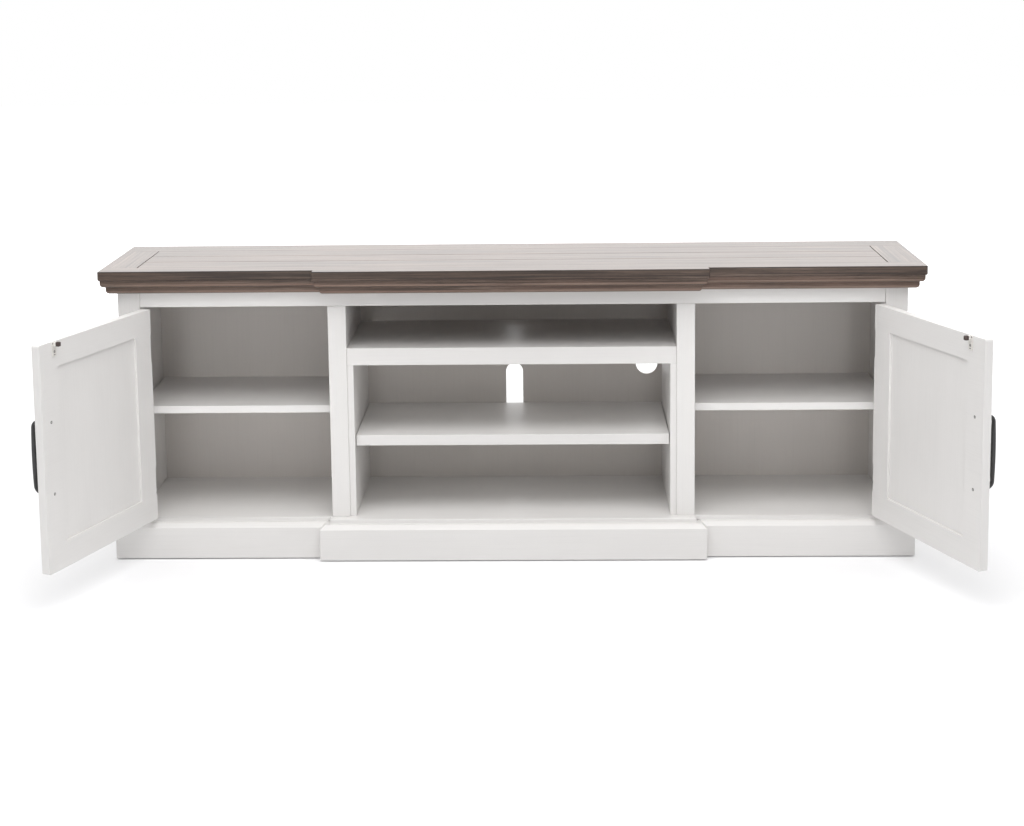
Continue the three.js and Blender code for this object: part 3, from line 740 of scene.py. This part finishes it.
def add_shelf_pins(side, word):
    """The pins of one side, under the side bay's shelf and the middle shelf."""
    side_wall = face_x("back_post_" + word, -side)
    partition = face_x("pilaster_" + word, -side) + side * PARTITION_THICKNESS * MM
    strip = face_x("inner_upright_" + word, -side) + side * SHELF_PIN_LENGTH * MM
    for shelf, walls in (("side_shelf_" + word, (("end", side_wall, -side), ("partition", partition, side))),
                         ("middle_shelf", (("middle", strip, -side),))):
        low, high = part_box(shelf)
        for row, inset in SHELF_PIN_INSET.items():
            y = low.y + inset * MM if row == "front" else high.y - inset * MM
            for wall, x, toward in walls:
                shelf_pin(f"shelf_pin_{wall}_{row}_{word}", (x, y, low.z), toward)


def back_screw_places(low, high):
    """Screws along the back panel's edges and up the two partitions."""
    margin = 9 * MM
    left, right, y = low.x + margin, high.x - margin, high.y - 0.45 * MM
    for i in range(9):
        for z in (low.z + margin, high.z - margin):
            yield left + (right - left) * i / 8, y, z
    for i in (1, 2, 3):
        for x in (left, -PARTITION_MIDDLE * MM, PARTITION_MIDDLE * MM, right):
            yield x, y, low.z + (high.z - low.z) * i / 4


# Screws

def screw_head(radius, rise):
    """A screw head that faces +Z, with a cross recess. Its rim sits at height 0."""
    bm = bmesh.new()

    def ring(points, height, size=1.0):
        return [bm.verts.new((x * size, y * size, height)) for x, y in points]

    rim = ring(circle((0, 0), radius), 0)
    shoulder = ring(circle((0, 0), radius * 0.86), rise * 0.8)
    skinned(bm, [rim, shoulder])
    arm, half = radius * 0.52, radius * 0.15
    quarter = [(arm, -half), (arm, half), (half, half)]
    cross = []
    for _ in range(4):
        cross += quarter
        quarter = [(-y, x) for x, y in quarter]
    inner = ring(cross, rise)
    edges = [bm.edges.new((inner[i], inner[i - 1])) for i in range(len(inner))]
    edges += [bm.edges.get((shoulder[i], shoulder[i - 1])) for i in range(len(shoulder))]
    bmesh.ops.triangle_fill(bm, edges=edges, use_beauty=True)
    for face in [f for f in bm.faces if all(v in inner for v in f.verts)]:
        bm.faces.remove(face)
    floor = ring(cross, rise - radius * 0.5, 0.8)
    skinned(bm, [inner, floor])
    bm.faces.new(floor)
    return outward(bm)


def screw_heads(places, radius_mm, rise_mm, axis="X"):
    """Equal screw heads at several places, as one mesh."""
    screws = bmesh.new()
    for place in places:
        added(screws, placed(screw_head(radius_mm * MM, rise_mm * MM), turned(place, axis)))
    return screws


# Doors: a runs from the hinge pin to the free edge, d from the front face to the back, z up

def door_joint(side):
    return next(j for j in frame["joints"] if j["child"] == "door_" + SIDES[side])


def door_matrix(side):
    """From door coordinates, in metres, to the open door's place."""
    joint = door_joint(side)
    pivot = (*joint["pos_m"][:2], 0)
    return turned(pivot, "Z", side * joint["range_deg"][1]) @ Matrix.Diagonal((-side, 1, 1, 1))


def door_piece(name, bm, look, side, replaces=(), along=UP, smooth=35):
    """A piece that is built in door coordinates and rides on the door of its side."""
    word = SIDES[side]
    piece(f"{name}_{word}", placed(bm, door_matrix(side)), look,
          [f"{cad}_{word}" for cad in replaces], along, smooth=smooth, body="door_" + word)


def door_heights():
    low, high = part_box("door_hinge_stile_left")
    return low.z, high.z


def panel_opening():
    """The opening of the frame in which the panel sits: its low and high corners along and up."""
    bottom, top = door_heights()
    return (((DOOR_HINGE_EDGE + STILE_WIDTH) * MM, bottom + BOTTOM_RAIL_WIDTH * MM),
            ((DOOR_FREE_EDGE - STILE_WIDTH) * MM, top - TOP_RAIL_WIDTH * MM))


def door_outline():
    """The frame's outer outline, with a notch in its hinge edge for each hinge."""
    bottom, top = door_heights()
    start, end, floor, half = (size * MM for size in (DOOR_HINGE_EDGE, DOOR_FREE_EDGE, NOTCH_FLOOR, NOTCH_HALF))
    points = [(end, bottom), (end, top), (start, top)]
    for level in reversed(LEVELS):
        height = middle_z(f"hinge_door_leaf_{level}_left")
        points += [(start, height + half), (floor, height + half), (floor, height - half), (start, height - half)]
    return points + [(start, bottom)]


def door_frame_mesh():
    """Stiles and rails as one frame, with rounded corners, hinge notches and a small slope round the panel."""
    settings = doors()
    low, high = panel_opening()
    bm = plate(door_outline(), [rectangle(low, high)], 1, DOOR_FRONT * MM, (DOOR_BACK - DOOR_FRONT) * MM)

    def level(edge):
        return abs(edge.verts[0].co.y - edge.verts[1].co.y) < MM

    def corner(edge):
        end = edge.verts[0].co
        return not level(edge) and any(near(end.x, a * MM) for a in (DOOR_HINGE_EDGE, DOOR_FREE_EDGE)) \
            and any(near(end.z, height) for height in door_heights())

    def in_notch(edge):
        return any(DOOR_HINGE_EDGE + 0.5 < vert.co.x / MM < NOTCH_FLOOR + 0.5 for vert in edge.verts)

    def round_panel(edge):
        return level(edge) and all(low[0] - MM < v.co.x < high[0] + MM and low[1] - MM < v.co.z < high[1] + MM
                                   for v in edge.verts)

    ease(bm, settings.corner, corner, segments=5)
    ease(bm, settings.edge, lambda e: level(e) and not round_panel(e) and not in_notch(e), segments=4)
    return ease(bm, settings.sticking, round_panel)


def frame_grain(side):
    """Upright grain in the stiles and level grain in the rails of an open door."""
    matrix = door_matrix(side)
    to_door = matrix.inverted()
    level = matrix.to_3x3() @ Vector(ACROSS)
    (start, _), (end, _) = panel_opening()
    return lambda centre: level if start < (to_door @ centre).x < end else UP


def door_panel_mesh():
    """The panel in its grooves."""
    low, high = panel_opening()
    tuck = PANEL_TUCK * MM
    return ease(block((low[0] - tuck, DOOR_PANEL[0] * MM, low[1] - tuck),
                      (high[0] + tuck, DOOR_PANEL[1] * MM, high[1] + tuck)), 0.5 * MM, segments=1)


# Handles

def rounded_section(width, thickness, radius, steps=3):
    """A rectangle with round corners, centred on 0."""
    points = []
    for start, su, sv in ((0, 1, 1), (90, -1, 1), (180, -1, -1), (270, 1, -1)):
        centre = (su * (width / 2 - radius), sv * (thickness / 2 - radius))
        points += arc(centre, radius, start, start + 90, steps)
    return points


def handle_path():
    """The middle line of the bar, as [out, up, thickness] from the lower foot to the upper one."""
    foot, corner, half = 0.3, HANDLE_BEND, HANDLE_SCREW_HALF
    straight = [(foot, -half), (foot + 3, -half), (HANDLE_OUT - corner, -half)]
    bend = arc((HANDLE_OUT - corner, corner - half), corner, -80, 0, 8)
    lower = [(out, up, HANDLE_THICKNESS) for out, up in straight + bend]
    grip = [(HANDLE_OUT, (half - corner) * t, HANDLE_THICKNESS + (GRIP_THICKNESS - HANDLE_THICKNESS) * (1 - t * t))
            for t in [i / 10 for i in range(-9, 10)]]
    upper = [(out, -up, thickness) for out, up, thickness in reversed(lower)]
    return lower + grip + upper


def handle_mesh():
    """A bow handle: one bar that is bent at both ends and swells in the middle, with a collar at each foot."""
    middle = middle_z("handle_left")
    bar = handle_path()
    path = [Vector((HANDLE_A * MM, (DOOR_FRONT - out) * MM, middle + up * MM)) for out, up, _ in bar]
    wide = Vector(ACROSS)
    line = []
    for i, centre in enumerate(path):
        tangent = (path[min(i + 1, len(path) - 1)] - path[max(i - 1, 0)]).normalized()
        line.append((centre, wide, tangent.cross(wide).normalized() * bar[i][2] / HANDLE_THICKNESS))
    bm = swept(metres(rounded_section(HANDLE_WIDTH, HANDLE_THICKNESS, HANDLE_CORNER)), line)
    for v in (-HANDLE_SCREW_HALF, HANDLE_SCREW_HALF):
        collar = lathe(metres([(0, 0.3), (6.0, 0.3), (6.2, 0.7), (5.8, 1.6), (4.6, 2.4), (0, 2.4)]), 32)
        squeeze = Matrix.Diagonal((1, 0.74, 1, 1))
        added(bm, placed(collar, turned((HANDLE_A * MM, DOOR_FRONT * MM, middle + v * MM), degrees=90) @ squeeze))
    return bm


# Hinges, round a pin at 0. The leaf lies at x from LEAF_START on, and y runs back into the case.

def hinge_leaf(first):
    """One leaf: a plate with round corners and screw holes, of which every second strip is rolled round the pin."""
    corner, start = 2.0, KNUCKLE_RADIUS + 0.5
    outline = [(start, -HINGE_HALF), *arc((LEAF_END - corner, corner - HINGE_HALF), corner, 270, 360, 5),
               *arc((LEAF_END - corner, HINGE_HALF - corner), corner, 0, 90, 5), (start, HINGE_HALF)]
    holes = [metres(circle(place, hardware().screw_radius / MM)) for place in LEAF_SCREWS]
    bm = plate(metres(outline), holes, 0, LEAF_START * MM, LEAF_THICKNESS * MM)
    ease(bm, 0.15 * MM, segments=1, sharper_than=60)
    back = LEAF_START + LEAF_THICKNESS
    begin = math.degrees(math.acos(back / KNUCKLE_RADIUS))
    knuckle = metres([(back, start), *arc((0, 0), KNUCKLE_RADIUS, begin, -250, 30),
                      *arc((0, 0), PIN_RADIUS + 0.1, -250, 60, 30), (LEAF_START, start)])
    step = 2 * HINGE_HALF / KNUCKLES
    for i in range(first, KNUCKLES, 2):
        low = i * step - HINGE_HALF + KNUCKLE_GAP / 2
        added(bm, plate(knuckle, [], 2, low * MM, (step - KNUCKLE_GAP) * MM))
    return bm


def hinge_pin():
    """The pin, with a domed head at each end."""
    end, head, cap = HINGE_HALF, 1.2, PIN_HEAD_RADIUS
    upper = [(PIN_RADIUS, end), (cap, end + 0.05), (cap, end + head * 0.2), (cap * 0.7, end + head * 0.8),
             (0, end + head)]
    return lathe(metres([(radius, -height) for radius, height in reversed(upper)] + upper), 28)


def leaf_screws():
    """The three countersunk screws of a leaf, flush with its plate. They face -X."""
    places = [((LEAF_START + 0.12) * MM, y * MM, z * MM) for y, z in LEAF_SCREWS]
    return screw_heads(places, hardware().screw_radius / MM - 0.05, 0.18, "Y")


# Catches

def strike_block(top, half_width, back, down):
    """A block on the strike's middle line. back is its range behind the door's face, down its range under the top."""
    return block(((STRIKE_A - half_width) * MM, (DOOR_BACK + back[0]) * MM, top - down[1] * MM),
                 ((STRIKE_A + half_width) * MM, (DOOR_BACK + back[1]) * MM, top - down[0] * MM))


def strike_mesh(top):
    """The strike on the door's inner face: a slim plate with an arched top, and a tongue."""
    half, foot = STRIKE_HALF, 1.5
    bottom = top / MM - STRIKE_HEIGHT + foot
    outline = [*arc((STRIKE_A - half + foot, bottom), foot, 180, 270, 4),
               *arc((STRIKE_A + half - foot, bottom), foot, 270, 360, 4),
               *arc((STRIKE_A, top / MM - half), half, 0, 180, 16)]
    bm = plate(metres(outline), [], 1, (DOOR_BACK + 0.05) * MM, 1.9 * MM)
    ease(bm, 0.4 * MM, sharper_than=50)
    return added(bm, ease(strike_block(top, 4.2, (1.05, 9.05), (0.4, 9.8)), 1.2 * MM, segments=3))


def strike_tip_mesh(top):
    """The strike's dark parts: its rounded nose, coloured dark as a painted reflection of a polished tip; an arc over
    the plate's arch, a painted shadow line; and a thin dark bar at its foot.
    """
    tip = strike_block(top, 4.5, (8.2, 17), (0, 10))
    ease(tip, 2.2 * MM, lambda e: max(v.co.y for v in e.verts) > (DOOR_BACK + 16) * MM, segments=5)
    ease(tip, 0.5 * MM, sharper_than=50)
    arch = (STRIKE_A, top / MM - STRIKE_HALF)
    # Painted shadow: a dark arc over the plate's arched top
    bow = metres(arc(arch, 7.4, 20, 160, 14) + arc(arch, 6.3, 160, 20, 14))
    added(tip, plate(bow, [], 1, (DOOR_BACK + 1.5) * MM, 1.1 * MM))
    # A thin dark bar at the strike's foot
    return added(tip, ease(strike_block(top, 2.8, (1.4, 2.05), (28.2, 29.6)), 0.1 * MM, segments=1))


# Stage

def seen_directly(tree):
    """1 for what the camera sees, straight or in gloss, and 0 for the light that falls on things."""
    rays = node(tree, "LightPath").outputs
    seen = calc(tree, "MAXIMUM", rays["Is Camera Ray"], rays["Is Glossy Ray"])
    return calc(tree, "MAXIMUM", seen, rays["Is Transmission Ray"])


def floor_finish():
    """A white floor that keeps the object's shadow and shows white to the camera and in gloss."""
    settings = stage()
    material = bpy.data.materials.new("floor_white")
    tree = emptied(material)
    place = node(tree, "TexCoord").outputs["Object"]
    mottle = node(tree, "TexNoise", {"Vector": place, "Scale": 3.0, "Detail": 3.0}).outputs["Fac"]
    white = ramp(tree, mottle, [(0.3, scaled(settings.floor, 0.99)), (0.7, settings.floor)])
    matt = node(tree, "BsdfDiffuse", {"Color": white})
    distance = node(tree, "VectorMath", {0: place}, operation="LENGTH").outputs["Value"]
    near_end, far_end = GLOW_RANGE
    far = node(tree, "MapRange", {"Value": distance, "From Min": near_end, "From Max": far_end,
                                  "To Min": settings.near_glow, "To Max": settings.far_glow},
               interpolation_type="SMOOTHSTEP")
    strength = calc(tree, "MULTIPLY", seen_directly(tree), far.outputs["Result"])
    glow = node(tree, "Emission", {"Color": (1, 1, 1, 1), "Strength": strength})
    both = node(tree, "AddShader", {0: matt.outputs[0], 1: glow.outputs[0]})
    node(tree, "OutputMaterial", {"Surface": both.outputs[0]})
    return material


def build_floor():
    bm = bmesh.new()
    bmesh.ops.create_grid(bm, x_segments=8, y_segments=8, size=14)
    floor = linked("floor", mesh_of("floor", bm))
    floor.data.materials.append(floor_finish())
    floor.location.z = -0.2 * MM


def build_world():
    """Soft light that grows towards straight above, under a sky that the camera and gloss see as white."""
    world = bpy.data.worlds.new("studio")
    bpy.context.scene.world = world
    tree = emptied(world)
    up = node(tree, "SeparateXYZ", {"Vector": node(tree, "TexCoord").outputs["Generated"]}).outputs["Z"]
    height = node(tree, "MapRange", {"Value": up, "To Max": stage().world}).outputs["Result"]
    sky = node(tree, "Background", {"Color": (1, 1, 1, 1),
                                    "Strength": ranged(tree, seen_directly(tree), height, 1.0)})
    node(tree, "OutputWorld", {"Surface": sky.outputs[0]})


def area_lamp(name, place, target, size, watts, spread=math.pi):
    lamp = bpy.data.lights.new(name, "AREA")
    lamp.shape = "RECTANGLE"
    lamp.size, lamp.size_y = size
    lamp.energy = watts
    lamp.spread = spread
    made = linked(name, lamp)
    made.location = place
    made.rotation_euler = (Vector(target) - Vector(place)).to_track_quat("-Z", "Y").to_euler()
    made.visible_camera = False


def build_camera():
    """The camera at the photograph's place, angle and framing."""
    settings = stage()
    camera = bpy.data.cameras.new("camera")
    camera.sensor_width = 36
    camera.lens = settings.lens
    camera.shift_x, camera.shift_y = settings.shift
    camera.clip_end = 200
    made = linked("camera", camera)
    right = Vector(CAMERA_RIGHT).normalized()
    up = Vector(CAMERA_UP)
    up = (up - right * up.dot(right)).normalized()
    turn = Matrix((right, up, right.cross(up))).transposed()
    made.matrix_world = Matrix.Translation(settings.camera) @ turn.to_4x4()
    bpy.context.scene.camera = made


# Operators

class CONSOLE_OT_top(bpy.types.Operator):
    """Build the boards of the brown top"""
    bl_idname = "console.top"
    bl_label = "Top boards"

    def execute(self, context):
        for name, tone in TOP_BOARDS.items():
            piece(name + "_board", top_board(name), "brown_wood", [name], direction(name), tone)
        return {"FINISHED"}


class CONSOLE_OT_cornice(bpy.types.Operator):
    """Build the moulding under the top"""
    bl_idname = "console.cornice"
    bl_label = "Moulding under the top"

    def execute(self, context):
        for name in CORNICE_TONES:
            bm = ease(copied(name), 0.6 * MM, sharper_than=40)
            piece(name + "_moulding", bm, "brown_wood", [name], direction(name), moulding_tone_shade_and_highlight(name))
        return {"FINISHED"}


class CONSOLE_OT_base(bpy.types.Operator):
    """Build the plinth, bottom panel and base rail"""
    bl_idname = "console.base"
    bl_label = "Plinth and base"

    def execute(self, context):
        # The plinth ends just clear of the floor, so that the base rail alone stands on it
        for place in ("front_left", "front_right", "centre", "end_left", "end_right"):
            name = "plinth_" + place
            board(name, direction(name), nudged(copied(name), 2, 0, FOOT_CLEARANCE * MM), 0.7)
        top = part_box("bottom_panel")[1].z
        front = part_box("plinth_front_left")[1].y
        board("bottom_panel", ease_mm=1.5,
              chosen=lambda edge: all(near(v.co.z, top) and v.co.y < front for v in edge.verts))
        board("base_rail", ease_mm=0.8)
        return {"FINISHED"}


class CONSOLE_OT_walls(bpy.types.Operator):
    """Build the posts, rails and panels of the case"""
    bl_idname = "console.walls"
    bl_label = "Case walls"

    def execute(self, context):
        board("header_rail", bm=narrowed("header_rail", 0.5, 0.5))
        for side, word in SIDES.items():
            for name in ("front_post_", "back_post_", "pilaster_"):
                board(name + word, UP)
            for name, toward in (("side_panel_" + word, -side), ("partition_" + word, side)):
                board(name, UP, trimmed(name, toward), 0.4)
            name = "inner_upright_" + word
            board(name, UP, upright_board(side, name), 0.8)
        return {"FINISHED"}


class CONSOLE_OT_back(bpy.types.Operator):
    """Build the back panel and its screws"""
    bl_idname = "console.back"
    bl_label = "Back panel"

    def execute(self, context):
        low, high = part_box("back_panel")
        sides, radius = stage().hole_sides, SLOT_HALF_WIDTH
        holes = [metres(circle(CABLE_HOLE_AT, CABLE_HOLE_RADIUS, sides))]
        for bottom, top in SLOTS:
            holes.append(metres(arc((0, top - radius), radius, 0, 180, sides // 2)
                                + arc((0, bottom + radius), radius, 180, 360, sides // 2)))
        panel = plate(rectangle((low.x, low.z), (high.x, high.z)), holes, 1, low.y, high.y - low.y - 0.4 * MM)
        piece("back_panel_board", panel, "white_back_panel", ["back_panel"], UP)
        piece("back_panel_screws", screw_heads(back_screw_places(low, high), 3.0, 0.4), "screw_steel")
        return {"FINISHED"}


class CONSOLE_OT_shelves(bpy.types.Operator):
    """Build the shelves and the pins under them"""
    bl_idname = "console.shelves"
    bl_label = "Shelves"

    def execute(self, context):
        board("top_shelf", ease_mm=0.6)
        board("top_shelf_rail")
        board("middle_shelf")
        for name, left, right in (("side_shelf_left", SHELF_PLAY, 0), ("side_shelf_right", 0, SHELF_PLAY)):
            board(name, bm=narrowed(name, left, right))
        for side, word in SIDES.items():
            add_shelf_pins(side, word)
        return {"FINISHED"}


class CONSOLE_OT_doors(bpy.types.Operator):
    """Build both framed doors"""
    bl_idname = "console.doors"
    bl_label = "Doors"

    def execute(self, context):
        rails_and_stiles = ("door_hinge_stile", "door_lock_stile", "door_top_rail", "door_bottom_rail")
        for side in SIDES:
            door_piece("door_frame", door_frame_mesh(), "white_paint", side, rails_and_stiles, frame_grain(side))
            door_piece("door_panel_board", door_panel_mesh(), "white_paint", side, ["door_panel"])
        return {"FINISHED"}


class CONSOLE_OT_handles(bpy.types.Operator):
    """Build the handles and their screws"""
    bl_idname = "console.handles"
    bl_label = "Handles"

    def execute(self, context):
        for side in SIDES:
            door_piece("handle_bar", handle_mesh(), "black_metal", side, ["handle"], smooth=50)
            for level, v in zip(LEVELS, (-HANDLE_SCREW_HALF, HANDLE_SCREW_HALF)):
                place = (HANDLE_A * MM, DOOR_BACK * MM, middle_z("handle_left") + v * MM)
                door_piece("handle_screw_" + level, screw_heads([place], 3.6, 0.5), "screw_steel", side, (), ACROSS)
        return {"FINISHED"}


class CONSOLE_OT_hinges(bpy.types.Operator):
    """Build the hinges"""
    bl_idname = "console.hinges"
    bl_label = "Hinges"

    def execute(self, context):
        for side, word in SIDES.items():
            for level in LEVELS:
                name = f"{level}_{word}"
                height = middle_z("hinge_door_leaf_" + name)
                case = Matrix.Translation((*door_joint(side)["pos_m"][:2], height)) @ Matrix.Diagonal((side, 1, 1, 1))
                piece("hinge_case_plate_" + name, placed(hinge_leaf(0), case), "hinge_metal",
                      ["hinge_case_leaf_" + name], UP)
                piece("hinge_pin_" + name, placed(hinge_pin(), case), "hinge_metal", (), UP)
                piece("hinge_case_screws_" + name, placed(leaf_screws(), case), "screw_steel", (), DEPTH)
                lift = Matrix.Translation((0, 0, height))
                door_piece("hinge_door_plate_" + level, placed(hinge_leaf(1), lift), "hinge_metal", side,
                           ["hinge_door_leaf_" + level])
                door_piece("hinge_door_screws_" + level, placed(leaf_screws(), lift), "screw_steel", side, (), DEPTH)
        return {"FINISHED"}


class CONSOLE_OT_catches(bpy.types.Operator):
    """Build the door catches"""
    bl_idname = "console.catches"
    bl_label = "Catches"

    def execute(self, context):
        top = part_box("catch_strike_left")[1].z
        for side, word in SIDES.items():
            door_piece("catch_strike_body", strike_mesh(top), "catch_nylon", side, ["catch_strike"])
            # The strike's dark nose is a painted reflection and the arc over its arch a painted shadow
            door_piece("catch_strike_tip", strike_tip_mesh(top), "catch_tip", side)
            place = (STRIKE_A * MM, (DOOR_BACK + 1.95) * MM, top - 22 * MM)
            door_piece("catch_strike_screw", screw_heads([place], 3.0, 0.5), "screw_steel", side, (), ACROSS)
            cad = "catch_jaw_" + word
            jaw = ease(copied(cad), 0.5 * MM)
            piece("catch_jaw_body_" + word, jaw, "catch_nylon", [cad], DEPTH)
        return {"FINISHED"}


class CONSOLE_OT_stage(bpy.types.Operator):
    """Build the floor, lamps, world and camera"""
    bl_idname = "console.stage"
    bl_label = "Stage"

    def execute(self, context):
        build_floor()
        build_world()
        for name, place, target, size in LAMPS:
            area_lamp(name + "_lamp", place, target, size, getattr(stage(), name))
        for side, word in SIDES.items():
            area_lamp("bay_lamp_" + word, (side * 0.75, -2.6, 0.75), (side * 0.65, 0.1, 0.42), (0.5, 0.5),
                      stage().bay, spread=0.3)
        build_camera()
        context.scene.view_settings.view_transform = "Standard"
        return {"FINISHED"}


PIECE_OPERATORS = (CONSOLE_OT_top, CONSOLE_OT_cornice, CONSOLE_OT_base, CONSOLE_OT_walls, CONSOLE_OT_back,
                   CONSOLE_OT_shelves, CONSOLE_OT_doors, CONSOLE_OT_handles, CONSOLE_OT_hinges, CONSOLE_OT_catches,
                   CONSOLE_OT_stage)
SETTINGS = {
    "console_paint": PaintSettings,
    "console_wood": WoodSettings,
    "console_doors": DoorSettings,
    "console_hardware": HardwareSettings,
    "console_stage": StageSettings,
}


class CONSOLE_PT_sidebar(bpy.types.Panel):
    """The console's pieces and settings"""
    bl_idname = "CONSOLE_PT_sidebar"
    bl_label = "Media console"
    bl_space_type = "VIEW_3D"
    bl_region_type = "UI"
    bl_category = "Console"

    def draw(self, context):
        for operator in PIECE_OPERATORS:
            self.layout.operator(operator.bl_idname)
        for attribute, group in SETTINGS.items():
            box = self.layout.box()
            box.label(text=group.__doc__)
            for name in group.__annotations__:
                box.prop(getattr(context.scene, attribute), name)


CLASSES = (*SETTINGS.values(), *PIECE_OPERATORS, CONSOLE_PT_sidebar)


def register():
    for cls in CLASSES:
        bpy.utils.register_class(cls)
    for attribute, group in SETTINGS.items():
        setattr(bpy.types.Scene, attribute, PointerProperty(type=group))


def unregister():
    for attribute in SETTINGS:
        delattr(bpy.types.Scene, attribute)
    for cls in reversed(CLASSES):
        bpy.utils.unregister_class(cls)


def main():
    """Builds every piece in order."""
    register()
    for operator in PIECE_OPERATORS:
        group, name = operator.bl_idname.split(".")
        getattr(getattr(bpy.ops, group), name)()
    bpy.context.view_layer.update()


if __name__ == "__main__":
    main()
